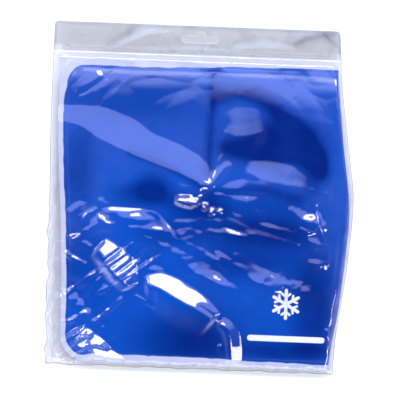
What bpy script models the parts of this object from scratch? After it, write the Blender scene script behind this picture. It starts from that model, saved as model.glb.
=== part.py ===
"""Cold compression wrap, folded in half inside its clear header bag.

The wrap is a long gel pouch folded once about a lengthwise line near its right side, with its elastic strap folded
between the two halves. The bag is a flat back film, a front film that domes over the wrap, and a header with a
press-to-close zip whose front lip lifts to open the mouth.

Frame: metres, +X to the right, +Y up the bag to its header, +Z up from the surface that the bag lies on. The origin
is at the middle of the bag's underside. Sizes in the constants are in millimetres.
"""

import math

import bmesh
import bpy
from mathutils import Matrix, Vector

MM = 0.001
GAP = 0.3                     # clearance between neighbouring pieces
FILM = 0.4                    # modelled thickness of every film

# Bag outline
BAG_TOP_Y = 148.5
BAG_BOTTOM_Y = -148.5
BAG_LEFT_MID_X = -130.0
BAG_LEFT_END_X = -128.5
BAG_RIGHT_MID_X = 130.0
BAG_RIGHT_MID_Y = 6.0         # where the right side stands out furthest
BAG_RIGHT_TOP_X = 117.0
BAG_RIGHT_BOTTOM_X = 123.0
SIDE_WELD = 1.0               # flat margin of the front film inside the outline
BAG_SHOULDER = 8.0            # width over which the front film climbs over the wrap
BAG_BOTTOM_SHOULDER = 7.0
BAG_MOUTH_SHOULDER = 6.0

# Header and zip
LIP_AXIS_Y = 122.6            # where the front lip bends up from the front film
LIP_Z = 2.6                   # underside of the front lip
MOUTH_RAMP_Y = 100.0          # below here the front film's edge lies on the back film
STRIP_LOW_Y = 128.4
STRIP_HIGH_Y = 148.0
STRIP_INSET = 0.8
BACK_STRIP_Z = 0.7
FRONT_STRIP_Z = 1.9
ZIP_LOW_Y = 123.4
ZIP_HIGH_Y = 128.0
ZIP_ENDS = (-123.0, 114.0)
ZIP_BASE = 0.3                # thickness of each track's base
ZIP_LIP_HEIGHT = 0.7
ZIP_LIP_WIDTH = 0.8
ZIP_GROOVE = 1.6
SLOT_X = -4.8
SLOT_Y = 136.7
SLOT_HALF_LENGTH = 16.0
SLOT_HALF_HEIGHT = 3.2
SLOT_BUMP_RADIUS = 5.2
SLOT_BUMP_RISE = 1.6          # height of the bump's centre over the slot's centre line

# Wrap, folded
WRAP_LEFT_X = -122.5
WRAP_TOP_Y = 116.5
WRAP_BOTTOM_Y = -143.5
WRAP_BASE_Z = 2.0             # the wrap slides out clear over the zip's lower track
FOLD_X = 112.0                # where the pouch halves end and the fold's bend begins
FOLD_CLEARANCE = 1.0          # from the pouch halves to the bend, whose wall leans back towards them
FOLD_BULGE_MID = 13.8         # reach of the bend at its middle
FOLD_BULGE_END = 2.5          # and at the top and bottom of the wrap
FOLD_WALL = 2.5
FOLD_STEPS = 8
RIM = 7.0                     # welded rim round the gel
RIM_HALF = GAP / 2 + FILM     # half the rim's thickness
CORNER_RADIUS = 19.0
POUCH_SHOULDER = 26.0         # width over which a pouch rounds up from its rim
POUCH_THICKNESS = 7.3
DOME = POUCH_THICKNESS / 2 - RIM_HALF
GEL_INSET = 2.0               # the gel stays this far inside the weld
GEL_HALF = POUCH_THICKNESS / 2 - FILM - 0.35
GEL_FOLD_SHOULDER = 4.0

# Strap, folded once between the halves
STRAP_WIDTH = 96.0
STRAP_CENTRE_Y = -14.0
STRAP_ROOT_X = -104.0
STRAP_BEND_X = 84.0
STRAP_TIP_X = -92.0
STRAP_THICKNESS = 0.8
BEND_STEPS = 6
PATCH_THICKNESS = 0.6
PATCH_LENGTH = 46.0
PATCH_MARGIN = 6.0            # the patches are narrower than the strap by this each side
PATCH_X = -62.0

# Printed mark
INK = 0.3
FLAKE_X = 77.0
FLAKE_Y = -88.0
FLAKE_ARM_LENGTH = 27.0
FLAKE_ARM_WIDTH = 3.2
BAR_X = 78.0
BAR_Y = -117.5
BAR_LENGTH = 66.0
BAR_WIDTH = 5.0

# The stack, from the rear pouch up to the bag's front film
REAR_MID_Z = WRAP_BASE_Z + POUCH_THICKNESS / 2
FIXED_RUN_Z = WRAP_BASE_Z + POUCH_THICKNESS + GAP
LOOP_PATCH_Z = FIXED_RUN_Z + STRAP_THICKNESS + GAP
HOOK_PATCH_Z = LOOP_PATCH_Z + PATCH_THICKNESS + GAP
FREE_RUN_Z = HOOK_PATCH_Z + PATCH_THICKNESS + GAP
FRONT_BASE_Z = FREE_RUN_Z + STRAP_THICKNESS + GAP
FRONT_MID_Z = FRONT_BASE_Z + POUCH_THICKNESS / 2
FOLD_MID_Z = (REAR_MID_Z + FRONT_MID_Z) / 2
MARK_Z = FRONT_BASE_Z + POUCH_THICKNESS + GAP
BAG_CREST_Z = MARK_Z + INK + 0.4

# Joint axes
FOLD_AXIS_X = FOLD_X + 5.0
STRAP_AXIS_X = STRAP_BEND_X + GAP
LIP_AXIS_Z = LIP_Z + FILM / 2

CLEAR = (0.80, 0.83, 0.88)
HEADER_GREY = (0.74, 0.78, 0.83)
BLUE = (0.02, 0.10, 0.56)
DEEP_BLUE = (0.01, 0.06, 0.42)
NAVY = (0.02, 0.03, 0.09)
PALE_GREY = (0.62, 0.65, 0.70)
WHITE = (0.92, 0.93, 0.95)


def clear_scene():
    for obj in list(bpy.data.objects):
        bpy.data.objects.remove(obj, do_unlink=True)


def new_collection(name):
    collection = bpy.data.collections.new(name)
    bpy.context.scene.collection.children.link(collection)
    return collection


def new_material(name, colour, roughness, alpha=1.0):
    material = bpy.data.materials.new(name)
    material.use_nodes = True
    shader = material.node_tree.nodes["Principled BSDF"]
    shader.inputs["Base Color"].default_value = (*colour, 1.0)
    shader.inputs["Roughness"].default_value = roughness
    shader.inputs["Metallic"].default_value = 0.0
    shader.inputs["Alpha"].default_value = alpha
    return material


def new_object(name, mesh, collection, material=None, parent=None):
    """Adds an object whose mesh is already in world coordinates, keeping its place under a parent empty."""
    obj = bpy.data.objects.new(name, mesh)
    collection.objects.link(obj)
    if material is not None:
        mesh.materials.append(material)
    if parent is not None:
        obj.parent = parent
        obj.matrix_parent_inverse = Matrix.Translation(-parent.location)
    return obj


def new_pivot(name, location, collection):
    """An empty on a joint's axis, the parent of the pieces that the joint moves."""
    pivot = bpy.data.objects.new(name, None)
    pivot.location = Vector(location) * MM
    collection.objects.link(pivot)
    return pivot


def smooth(obj, angle=40.0):
    obj.data.shade_smooth()
    obj.data.set_sharp_from_angle(angle=math.radians(angle))


def lerp(a, b, t):
    return a + (b - a) * t


def bag_left(y):
    """X of the bag's left edge: it bows out a little at mid height."""
    across = (y - BAG_BOTTOM_Y) / (BAG_TOP_Y - BAG_BOTTOM_Y) * 2 - 1
    return lerp(BAG_LEFT_MID_X, BAG_LEFT_END_X, across * across)


def bag_right(y):
    """X of the bag's right edge: it bows out over the fold."""
    above = y > BAG_RIGHT_MID_Y
    end_y = BAG_TOP_Y if above else BAG_BOTTOM_Y
    end_x = BAG_RIGHT_TOP_X if above else BAG_RIGHT_BOTTOM_X
    along = (y - BAG_RIGHT_MID_Y) / (end_y - BAG_RIGHT_MID_Y)
    return lerp(BAG_RIGHT_MID_X, end_x, along * along)


def stations(low, high, low_rim=0.0, high_rim=0.0, low_shoulder=0.0, high_shoulder=0.0, steps=3, flats=4):
    """Positions across a pouch, each with its share of full height: rim, quarter-round shoulder, level middle."""

    def edge(rim, shoulder):
        part = []
        if rim:
            part += [(0.0, 0.0), (rim * 0.3, 0.0)]
        if shoulder:
            for k in range(steps):
                angle = math.pi / 2 * k / steps
                part.append((rim + shoulder * (1 - math.cos(angle)), math.sin(angle)))
        return part

    level_low = low + low_rim + low_shoulder
    level_high = high - high_rim - high_shoulder
    line = [(low + d, f) for d, f in edge(low_rim, low_shoulder)]
    line += [(lerp(level_low, level_high, k / flats), 1.0) for k in range(flats + 1)]
    line += [(high - d, f) for d, f in reversed(edge(high_rim, high_shoulder))]
    return line


def grid_mesh(name, columns, rows, place):
    """A grid of columns by rows vertices, each moved to place(i, j), given in millimetres."""
    bm = bmesh.new()
    bmesh.ops.create_grid(bm, x_segments=columns - 1, y_segments=rows - 1, size=1.0)
    for vertex in bm.verts:
        i = round((vertex.co.x + 1) / 2 * (columns - 1))
        j = round((vertex.co.y + 1) / 2 * (rows - 1))
        vertex.co = Vector(place(i, j)) * MM
    mesh = bpy.data.meshes.new(name)
    bm.to_mesh(mesh)
    bm.free()
    return mesh


def add_solidify(obj, thickness, offset):
    modifier = obj.modifiers.new("Thickness", "SOLIDIFY")
    modifier.thickness = thickness * MM
    modifier.offset = offset


def add_cut(obj, cutter):
    modifier = obj.modifiers.new("Cut", "BOOLEAN")
    modifier.operation = "DIFFERENCE"
    modifier.object = cutter


def prism(name, outline, low, high, collection, material=None, parent=None, along="Z", centre=(0.0, 0.0)):
    """A flat outline extruded from low to high along Z, or along X with the outline in the YZ plane."""
    curve = bpy.data.curves.new(name + "_outline", "CURVE")
    curve.dimensions = "2D"
    curve.fill_mode = "BOTH"
    curve.extrude = (high - low) / 2 * MM
    spline = curve.splines.new("POLY")
    spline.points.add(len(outline) - 1)
    for point, (a, b) in zip(spline.points, outline):
        point.co = ((a + centre[0]) * MM, (b + centre[1]) * MM, 0.0, 1.0)
    spline.use_cyclic_u = True
    guide = bpy.data.objects.new(name + "_guide", curve)
    bpy.context.scene.collection.objects.link(guide)
    depsgraph = bpy.context.evaluated_depsgraph_get()
    mesh = bpy.data.meshes.new_from_object(guide.evaluated_get(depsgraph), depsgraph=depsgraph)
    bpy.data.objects.remove(guide, do_unlink=True)
    mesh.materials.clear()
    turn = Matrix(((0, 0, 1), (1, 0, 0), (0, 1, 0))).to_4x4() if along == "X" else Matrix.Identity(4)
    shift = Vector((0.0, 0.0, (low + high) / 2)) * MM
    bm = bmesh.new()
    bm.from_mesh(mesh)
    bmesh.ops.remove_doubles(bm, verts=bm.verts, dist=0.00001)
    bmesh.ops.recalc_face_normals(bm, faces=bm.faces)
    bmesh.ops.translate(bm, verts=bm.verts, vec=shift)
    bmesh.ops.transform(bm, verts=bm.verts, matrix=turn)
    bm.to_mesh(mesh)
    bm.free()
    return new_object(name, mesh, collection, material, parent)


def slab(name, x_range, y_range, z_low, thickness, collection, material, parent=None):
    """A flat rectangular piece."""
    bm = bmesh.new()
    bmesh.ops.create_cube(bm, size=1.0)
    size = Vector((x_range[1] - x_range[0], y_range[1] - y_range[0], thickness))
    middle = Vector((sum(x_range) / 2, sum(y_range) / 2, z_low + thickness / 2))
    for vertex in bm.verts:
        vertex.co = Vector([c * s for c, s in zip(vertex.co, size)]) * MM + middle * MM
    mesh = bpy.data.meshes.new(name)
    bm.to_mesh(mesh)
    bm.free()
    return new_object(name, mesh, collection, material, parent)


def corner_inset(y):
    """How far the wrap's left edge steps in at its rounded corners."""
    inside = min(WRAP_TOP_Y - y, y - WRAP_BOTTOM_Y)
    drop = CORNER_RADIUS - min(max(inside, 0.0), CORNER_RADIUS)
    return CORNER_RADIUS - math.sqrt(CORNER_RADIUS ** 2 - drop ** 2)


def pouch_film(name, mid_z, side, collection, material, parent):
    """One film of a pouch half: side is +1 for the film over the gel and -1 for the film under it."""
    xs = stations(WRAP_LEFT_X, FOLD_X, low_rim=RIM, low_shoulder=POUCH_SHOULDER)
    ys = stations(WRAP_BOTTOM_Y, WRAP_TOP_Y, RIM, RIM, POUCH_SHOULDER, POUCH_SHOULDER)

    def place(i, j):
        (x, across), (y, along) = xs[i], ys[j]
        share = (FOLD_X - x) / (FOLD_X - WRAP_LEFT_X)
        height = RIM_HALF + DOME * across * along
        return x + corner_inset(y) * share, y, mid_z + side * height

    obj = new_object(name, grid_mesh(name, len(xs), len(ys), place), collection, material, parent)
    add_solidify(obj, FILM, -side)
    smooth(obj)
    return obj


def gel_fill(name, mid_z, collection, material, parent):
    """The gel sealed between two films: a half pillow, open at its middle plane, mirrored across it."""
    low_x = WRAP_LEFT_X + RIM + GEL_INSET
    high_x = FOLD_X - GEL_INSET
    low_y = WRAP_BOTTOM_Y + RIM + GEL_INSET
    high_y = WRAP_TOP_Y - RIM - GEL_INSET
    xs = stations(low_x, high_x, low_shoulder=POUCH_SHOULDER, high_shoulder=GEL_FOLD_SHOULDER)
    ys = stations(low_y, high_y, low_shoulder=POUCH_SHOULDER, high_shoulder=POUCH_SHOULDER)

    def place(i, j):
        (x, across), (y, along) = xs[i], ys[j]
        share = (high_x - x) / (high_x - low_x)
        return x + corner_inset(y) * share, y, GEL_HALF * across * along

    obj = new_object(name, grid_mesh(name, len(xs), len(ys), place), collection, material, parent)
    obj.location.z = mid_z * MM
    mirror = obj.modifiers.new("Underside", "MIRROR")
    mirror.use_axis = (False, False, True)
    mirror.merge_threshold = 0.00005
    smooth(obj)
    return obj


def fold_bridge(collection, material, parent):
    """The bend that joins the halves: half-ellipses swept down the fold, fullest at its middle."""
    ys = stations(WRAP_BOTTOM_Y, WRAP_TOP_Y, RIM, RIM, POUCH_SHOULDER, POUCH_SHOULDER)
    rim_reach = (FRONT_MID_Z - REAR_MID_Z) / 2 + RIM_HALF
    mid_y = (WRAP_TOP_Y + WRAP_BOTTOM_Y) / 2
    half_length = (WRAP_TOP_Y - WRAP_BOTTOM_Y) / 2

    def place(i, j):
        y, along = ys[j]
        angle = math.pi * (0.5 - i / FOLD_STEPS)
        off_middle = (y - mid_y) / half_length
        bulge = lerp(FOLD_BULGE_MID, FOLD_BULGE_END, off_middle ** 2)
        reach = rim_reach + DOME * along
        return FOLD_X + FOLD_CLEARANCE + bulge * math.cos(angle), y, FOLD_MID_Z + reach * math.sin(angle)

    mesh = grid_mesh("fold_bridge", FOLD_STEPS + 1, len(ys), place)
    obj = new_object("fold_bridge", mesh, collection, material, parent)
    add_solidify(obj, FOLD_WALL, -1)
    smooth(obj)
    return obj


def strap_bend(collection, material, parent):
    """The strap's own fold, between its fixed and its free run."""
    middle = (FIXED_RUN_Z + FREE_RUN_Z + STRAP_THICKNESS) / 2
    radius = (FREE_RUN_Z + STRAP_THICKNESS - FIXED_RUN_Z) / 2

    def place(i, j):
        angle = math.pi * (0.5 - i / BEND_STEPS)
        y = STRAP_CENTRE_Y + STRAP_WIDTH * (j - 0.5)
        return STRAP_BEND_X + GAP + radius * math.cos(angle), y, middle + radius * math.sin(angle)

    mesh = grid_mesh("strap_bend", BEND_STEPS + 1, 2, place)
    obj = new_object("strap_bend", mesh, collection, material, parent)
    add_solidify(obj, STRAP_THICKNESS, -1)
    smooth(obj)
    return obj


def bag_sheet(name, low_y, high_y, z, thickness, inset, collection, material, parent=None):
    """A flat sheet that fills the bag's outline between two heights, inset from its side edges."""
    rows = 9

    def place(i, j):
        y = lerp(low_y, high_y, j / (rows - 1))
        x = bag_right(y) - inset if i else bag_left(y) + inset
        return x, y, z

    obj = new_object(name, grid_mesh(name, 2, rows, place), collection, material, parent)
    add_solidify(obj, thickness, 1)
    return obj


def bag_front_film(collection, material):
    """The film that lies over the wrap, from the bottom weld to the mouth, with a level crown."""
    high_y = LIP_AXIS_Y - GAP
    ys = stations(BAG_BOTTOM_Y, high_y, SIDE_WELD, 0.0, BAG_BOTTOM_SHOULDER, BAG_MOUTH_SHOULDER, 4, 6)
    rows = [
        stations(bag_left(y), bag_right(y), SIDE_WELD, SIDE_WELD, BAG_SHOULDER, BAG_SHOULDER, 4, 6)
        for y, _ in ys
    ]

    def place(i, j):
        (y, along), (x, across) = ys[j], rows[j][i]
        mouth = min(max((y - MOUTH_RAMP_Y) / (high_y - MOUTH_RAMP_Y), 0.0), 1.0)
        base = lerp(FILM + GAP, LIP_Z, mouth)
        return x, y, base + (BAG_CREST_Z - base) * across * along

    mesh = grid_mesh("bag_front_film", len(rows[0]), len(ys), place)
    obj = new_object("bag_front_film", mesh, collection, material)
    add_solidify(obj, FILM, 1)
    smooth(obj)
    return obj


def slot_outline(inset):
    """Hang-slot outline: a long slot with round ends and a round bump over its middle."""
    radius = SLOT_HALF_HEIGHT - inset
    end_x = SLOT_HALF_LENGTH - SLOT_HALF_HEIGHT
    bump = SLOT_BUMP_RADIUS - inset
    rise = radius - SLOT_BUMP_RISE
    meet = math.atan2(rise, math.sqrt(bump ** 2 - rise ** 2))
    points = []
    for k in range(7):
        angle = math.pi * (k / 6 - 0.5)
        points.append((end_x + radius * math.cos(angle), radius * math.sin(angle)))
    for k in range(7):
        angle = lerp(meet, math.pi - meet, k / 6)
        points.append((bump * math.cos(angle), SLOT_BUMP_RISE + bump * math.sin(angle)))
    for k in range(7):
        angle = math.pi * (0.5 + k / 6)
        points.append((-end_x + radius * math.cos(angle), radius * math.sin(angle)))
    return points


def slot_prism(name, inset, low, high, collection, material=None, parent=None):
    return prism(name, slot_outline(inset), low, high, collection, material, parent, centre=(SLOT_X, SLOT_Y))


def zip_outlines():
    """Cross-sections of the zip in the YZ plane: the track with the groove, and the track with the ridge."""
    base, lip = BACK_STRIP_Z + ZIP_BASE, ZIP_LIP_WIDTH
    lip_top = base + ZIP_LIP_HEIGHT
    middle = (ZIP_LOW_Y + ZIP_HIGH_Y) / 2
    half = ZIP_GROOVE / 2
    groove = [
        (ZIP_LOW_Y, BACK_STRIP_Z), (ZIP_HIGH_Y, BACK_STRIP_Z), (ZIP_HIGH_Y, base),
        (middle + half + lip, base), (middle + half + lip, lip_top), (middle + half, lip_top),
        (middle + half, base), (middle - half, base), (middle - half, lip_top),
        (middle - half - lip, lip_top), (middle - half - lip, base), (ZIP_LOW_Y, base),
    ]
    roof = LIP_Z - GAP
    ridge_base = roof - ZIP_BASE
    rib = half - GAP
    ridge = [
        (ZIP_LOW_Y, ridge_base), (middle - rib, ridge_base), (middle - rib, base + GAP),
        (middle + rib, base + GAP), (middle + rib, ridge_base), (ZIP_HIGH_Y, ridge_base),
        (ZIP_HIGH_Y, roof), (ZIP_LOW_Y, roof),
    ]
    return groove, ridge


def build_bag(parts, cutter, clear, header):
    """The pieces of the bag that stay with its back film."""
    back = bag_sheet("bag_back_film", BAG_BOTTOM_Y, BAG_TOP_Y, 0.0, FILM, 0.0, parts, clear)
    add_cut(back, cutter)
    bag_front_film(parts, clear)
    strip = bag_sheet("back_header_strip", STRIP_LOW_Y, STRIP_HIGH_Y, BACK_STRIP_Z, FILM, STRIP_INSET, parts, header)
    add_cut(strip, cutter)
    groove, _ = zip_outlines()
    prism("zip_groove_track", groove, *ZIP_ENDS, parts, header, along="X")
    slot_prism("back_hang_tab", GAP, 0.0, BACK_STRIP_Z + FILM, parts, header)


def build_mouth_lip(parts, cutter, clear, header):
    """The front half of the header, which lifts about its low edge."""
    pivot = new_pivot("mouth_lip_pivot", (0.0, LIP_AXIS_Y, LIP_AXIS_Z), parts)
    low_y = LIP_AXIS_Y + GAP
    lip = bag_sheet("front_lip_film", low_y, BAG_TOP_Y, LIP_Z, FILM, 0.0, parts, clear, pivot)
    add_cut(lip, cutter)
    strip = bag_sheet(
        "front_header_strip", STRIP_LOW_Y, STRIP_HIGH_Y, FRONT_STRIP_Z, FILM, STRIP_INSET, parts, header, pivot
    )
    add_cut(strip, cutter)
    _, ridge = zip_outlines()
    prism("zip_ridge_track", ridge, *ZIP_ENDS, parts, header, pivot, along="X")
    slot_prism("front_hang_tab", GAP, FRONT_STRIP_Z, LIP_Z + FILM, parts, header, pivot)


def build_rear_half(parts, film, gel, elastic, loop):
    """The half that lies on the bag's back film, with the bend and the strap's fixed run."""
    pivot = new_pivot("wrap_slide_pivot", (0.0, 0.0, REAR_MID_Z), parts)
    pouch_film("rear_outer_film", REAR_MID_Z, -1, parts, film, pivot)
    pouch_film("rear_inner_film", REAR_MID_Z, 1, parts, film, pivot)
    gel_fill("rear_gel_fill", REAR_MID_Z, parts, gel, pivot)
    fold_bridge(parts, film, pivot)
    low_y, high_y = STRAP_CENTRE_Y - STRAP_WIDTH / 2, STRAP_CENTRE_Y + STRAP_WIDTH / 2
    slab(
        "strap_fixed_run", (STRAP_ROOT_X, STRAP_BEND_X), (low_y, high_y), FIXED_RUN_Z, STRAP_THICKNESS,
        parts, elastic, pivot,
    )
    strap_bend(parts, elastic, pivot)
    slab("loop_patch", *patch_ranges(), LOOP_PATCH_Z, PATCH_THICKNESS, parts, loop, pivot)
    return pivot


def patch_ranges():
    half_length, half_width = PATCH_LENGTH / 2, STRAP_WIDTH / 2 - PATCH_MARGIN
    return (PATCH_X - half_length, PATCH_X + half_length), (STRAP_CENTRE_Y - half_width, STRAP_CENTRE_Y + half_width)


def build_strap_end(parts, elastic, hook):
    """The strap's free run, which unfolds about the strap's bend."""
    pivot = new_pivot("strap_unfold_pivot", (STRAP_AXIS_X, 0.0, FOLD_MID_Z), parts)
    low_y, high_y = STRAP_CENTRE_Y - STRAP_WIDTH / 2, STRAP_CENTRE_Y + STRAP_WIDTH / 2
    slab(
        "strap_free_run", (STRAP_TIP_X, STRAP_BEND_X), (low_y, high_y), FREE_RUN_Z, STRAP_THICKNESS,
        parts, elastic, pivot,
    )
    slab("hook_patch", *patch_ranges(), HOOK_PATCH_Z, PATCH_THICKNESS, parts, hook, pivot)


def build_front_half(parts, cutters, film, gel, ink):
    """The half that folds over the strap, with the printed mark on its outer film."""
    pivot = new_pivot("wrap_fold_pivot", (FOLD_AXIS_X, 0.0, FOLD_MID_Z), parts)
    pouch_film("front_outer_film", FRONT_MID_Z, 1, parts, film, pivot)
    pouch_film("front_inner_film", FRONT_MID_Z, -1, parts, film, pivot)
    gel_fill("front_gel_fill", FRONT_MID_Z, parts, gel, pivot)
    arms = []
    for k in range(3):
        target = parts if k == 0 else cutters
        half_length, half_width = FLAKE_ARM_LENGTH / 2, FLAKE_ARM_WIDTH / 2
        arm = slab(
            "printed_flake" if k == 0 else f"flake_arm_{k}", (-half_length, half_length),
            (-half_width, half_width), MARK_Z, INK, target, ink,
        )
        turn = Matrix.Rotation(math.pi * (0.5 + k / 3), 4, "Z")
        arm.data.transform(Matrix.Translation(Vector((FLAKE_X, FLAKE_Y, 0.0)) * MM) @ turn)
        arms.append(arm)
    for arm in arms[1:]:
        hide_cutter(arm)
        union = arms[0].modifiers.new("Arm", "BOOLEAN")
        union.operation = "UNION"
        union.object = arm
    arms[0].parent = pivot
    arms[0].matrix_parent_inverse = Matrix.Translation(-pivot.location)
    bar_outline = []
    for side in (1, -1):
        for k in range(7):
            angle = math.pi * (k / 6 - 0.5)
            x = side * (BAR_LENGTH - BAR_WIDTH + BAR_WIDTH * math.cos(angle)) / 2
            bar_outline.append((x, side * BAR_WIDTH / 2 * math.sin(angle)))
    prism("printed_bar", bar_outline, MARK_Z, MARK_Z + INK, parts, ink, pivot, centre=(BAR_X, BAR_Y))


def hide_cutter(obj):
    obj.hide_render = True
    obj.display_type = "WIRE"


def main():
    clear_scene()
    parts = new_collection("cold_compression_wrap")
    cutters = new_collection("cutters")
    clear = new_material("clear_film", CLEAR, 0.12, alpha=0.3)
    header = new_material("header_film", HEADER_GREY, 0.2, alpha=0.5)
    film = new_material("blue_film", BLUE, 0.15)
    gel = new_material("cooling_gel", DEEP_BLUE, 0.3)
    elastic = new_material("elastic_webbing", NAVY, 0.9)
    loop = new_material("loop_pile", NAVY, 0.95)
    hook = new_material("hook_tape", PALE_GREY, 0.8)
    ink = new_material("white_ink", WHITE, 0.4)
    cutter = slot_prism("hang_slot_cutter", 0.0, -2.0, 5.0, cutters)
    hide_cutter(cutter)
    build_bag(parts, cutter, clear, header)
    build_mouth_lip(parts, cutter, clear, header)
    build_rear_half(parts, film, gel, elastic, loop)
    build_strap_end(parts, elastic, hook)
    build_front_half(parts, cutters, film, gel, ink)


main()
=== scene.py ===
"""Looks of the cold compression wrap, folded in its clear header bag.

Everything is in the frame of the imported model. Shapes are worked out in millimetres from the CAD boxes and
scaled once, when a mesh is made. The bag lies flat with its header towards +Y, and the wrap's fold is at +X.
"""

import math

import bmesh
import bpy
import numpy as np
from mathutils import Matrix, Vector
from mathutils.geometry import delaunay_2d_cdt


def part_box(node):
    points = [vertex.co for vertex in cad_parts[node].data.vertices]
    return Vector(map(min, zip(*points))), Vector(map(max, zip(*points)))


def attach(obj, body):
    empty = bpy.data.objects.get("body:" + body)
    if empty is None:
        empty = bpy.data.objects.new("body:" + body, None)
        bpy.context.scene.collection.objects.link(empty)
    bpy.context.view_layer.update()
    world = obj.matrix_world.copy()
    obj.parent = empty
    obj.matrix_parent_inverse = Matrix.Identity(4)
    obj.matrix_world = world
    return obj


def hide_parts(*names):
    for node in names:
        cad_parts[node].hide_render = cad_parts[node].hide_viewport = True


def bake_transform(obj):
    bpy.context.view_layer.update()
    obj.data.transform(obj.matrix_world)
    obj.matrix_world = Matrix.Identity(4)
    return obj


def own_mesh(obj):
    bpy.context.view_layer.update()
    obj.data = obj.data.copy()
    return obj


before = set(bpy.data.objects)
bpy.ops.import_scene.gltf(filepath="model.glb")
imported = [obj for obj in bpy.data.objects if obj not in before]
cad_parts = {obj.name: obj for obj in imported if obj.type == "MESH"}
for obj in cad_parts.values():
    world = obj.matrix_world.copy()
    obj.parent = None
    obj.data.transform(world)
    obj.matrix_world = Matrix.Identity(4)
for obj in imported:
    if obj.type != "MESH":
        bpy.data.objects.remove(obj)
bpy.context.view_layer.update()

MM = 0.001


def corners(node):
    """A CAD node's lowest and highest corners in millimetres."""
    low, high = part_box(node)
    return np.array(low) / MM, np.array(high) / MM


FRONT_LOW, FRONT_HIGH = corners("front_outer_film")
FRONT_INNER_LOW = corners("front_inner_film")[0]
REAR_LOW, REAR_HIGH = corners("rear_outer_film")
REAR_INNER_HIGH = corners("rear_inner_film")[1]
BEND_HIGH = corners("fold_bridge")[1]
BAG_LOW, BAG_HIGH = corners("bag_back_film")
DOME_LOW, DOME_HIGH = corners("bag_front_film")
LIP_LOW, LIP_HIGH = corners("front_lip_film")
STRIP_LOW, STRIP_HIGH = corners("front_header_strip")
BACK_STRIP_LOW, BACK_STRIP_HIGH = corners("back_header_strip")
TAB_LOW, TAB_HIGH = corners("front_hang_tab")
FIXED_LOW, FIXED_HIGH = corners("strap_fixed_run")
FREE_LOW, FREE_HIGH = corners("strap_free_run")
LOOP_LOW, LOOP_HIGH = corners("loop_patch")
HOOK_LOW, HOOK_HIGH = corners("hook_patch")
FLAKE_LOW, FLAKE_HIGH = corners("printed_flake")
BAR_LOW, BAR_HIGH = corners("printed_bar")

# Wrap
LEFT_X, FOLD_X = FRONT_LOW[0], FRONT_HIGH[0]
LOW_Y, TOP_Y = FRONT_LOW[1], FRONT_HIGH[1]
MID_Y = (LOW_Y + TOP_Y) / 2
HALF_LENGTH = (TOP_Y - LOW_Y) / 2
RIM = 7.0                      # welded rim round the gel
RIM_RADIUS = 23.0
SHOULDER = 20.0                # width over which a pouch rounds up from its rim
# The wrap lies a little askew: how far its left side is drawn in, by height, and how far its fold reaches out
LEFT_LEAN = ((-130, 8.5), (-80, 7.5), (-40, 6.0), (0, 3.5), (40, 0.0), (130, -1.0))
FOLD_OUT = ((-130, -10.5), (-100, -4.5), (-62, 0.0), (-15, 4.0),
            (5, 2.8), (48, -4.4), (105, -11.5), (130, -11.8))
FRONT_TOP_Z = FRONT_HIGH[2]
FILM = 0.4                     # thickness of the CAD films
FRONT_RIM_Z = FRONT_LOW[2] + FILM
REAR_BASE_Z = REAR_LOW[2]
REAR_RIM_Z = REAR_HIGH[2] - FILM
FOLD_MID_Z = (FRONT_TOP_Z + REAR_BASE_Z) / 2
FOLD_REACH = BEND_HIGH[0] - FOLD_X
FOLD_SQUARE = 0.75             # 1 is a round fold, less is a flatter one
FOLD_WALL = 0.42               # sine of the turn up to which the fold's outer wall is flat
RIM_GAP = 0.25                 # half the gap between the films at the weld
# Printed snowflake: widths of its stems and twigs, and a twig's root and length as shares of an arm
STEM_WIDTH, TWIG_WIDTH = 2.7, 2.0
TWIG_ROOT, TWIG_LENGTH, TWIG_ANGLE = 0.52, 0.36, 52

# Bag
# How far each side stands out from the bag's box, by height: the film is pushed out over the wrap's fold
LEFT_SIDE = ((-149, 1.5), (-60, 0.5), (0, 0.0), (60, -1.5), (149, -1.0))
RIGHT_SIDE = ((-149, -9.0), (-118, -8.0), (-62, -0.5), (-18, 3.2), (8, 3.6), (100, -10.0), (149, -13.4))
SIDE_SHOULDER = 8.0
MOUTH_SHOULDER = 7.0
MOUTH_RAMP_Y = 100.0
MOUTH_GAP = 0.35               # kept on each side of the mouth lip's hinge
FILM_CLEAR = 0.35              # least gap between the bag's film and what is under it
STRIP_INSET = 0.8
PUCKER_CAP = 1.2
PUCKER_SPAN = (LEFT_X, FOLD_X + 8)    # width of the simulated film

# Hang slot
SLOT_HALF_HEIGHT = 3.2
SLOT_BUMP_RADIUS = 5.2
SLOT_BUMP_RISE = 1.6
SLOT_GAP = 0.3
SLOT_X = (TAB_LOW[0] + TAB_HIGH[0]) / 2
SLOT_Y = TAB_LOW[1] + SLOT_HALF_HEIGHT - SLOT_GAP
SLOT_HALF_LENGTH = (TAB_HIGH[0] - TAB_LOW[0]) / 2 + SLOT_GAP


# ---- Helpers ----

def ramp(low, high, value):
    """0 at low and 1 at high, smooth between them."""
    t = np.clip((value - low) / (high - low), 0.0, 1.0)
    return t * t * (3 - 2 * t)


def mix(a, b, t):
    return a + (b - a) * t


def rounded(t):
    """Height of a quarter circle that rises from 0 at t = 0 to 1 at t = 1, and is level past it."""
    return np.sqrt(1 - (1 - np.clip(t, 0, 1)) ** 2)


def spaced(low, high, count, low_edge=0.0, high_edge=0.0):
    """Positions from low to high, closer together towards an edge by the given weight, 0 to 1."""
    t = np.linspace(0.0, 1.0, count)
    t = t - 0.28 * low_edge * np.sin(np.pi * t) * (1 - t) + 0.28 * high_edge * np.sin(np.pi * t) * t
    return low + (high - low) * t


def by_height(table, y, blur=7.0):
    """A value given at a few heights, at the heights y, with its corners rounded."""
    at, values = np.array(table, float).T
    return sum(np.interp(y + blur * k, at, values) for k in (-1, -0.5, 0, 0.5, 1)) / 5


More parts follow.
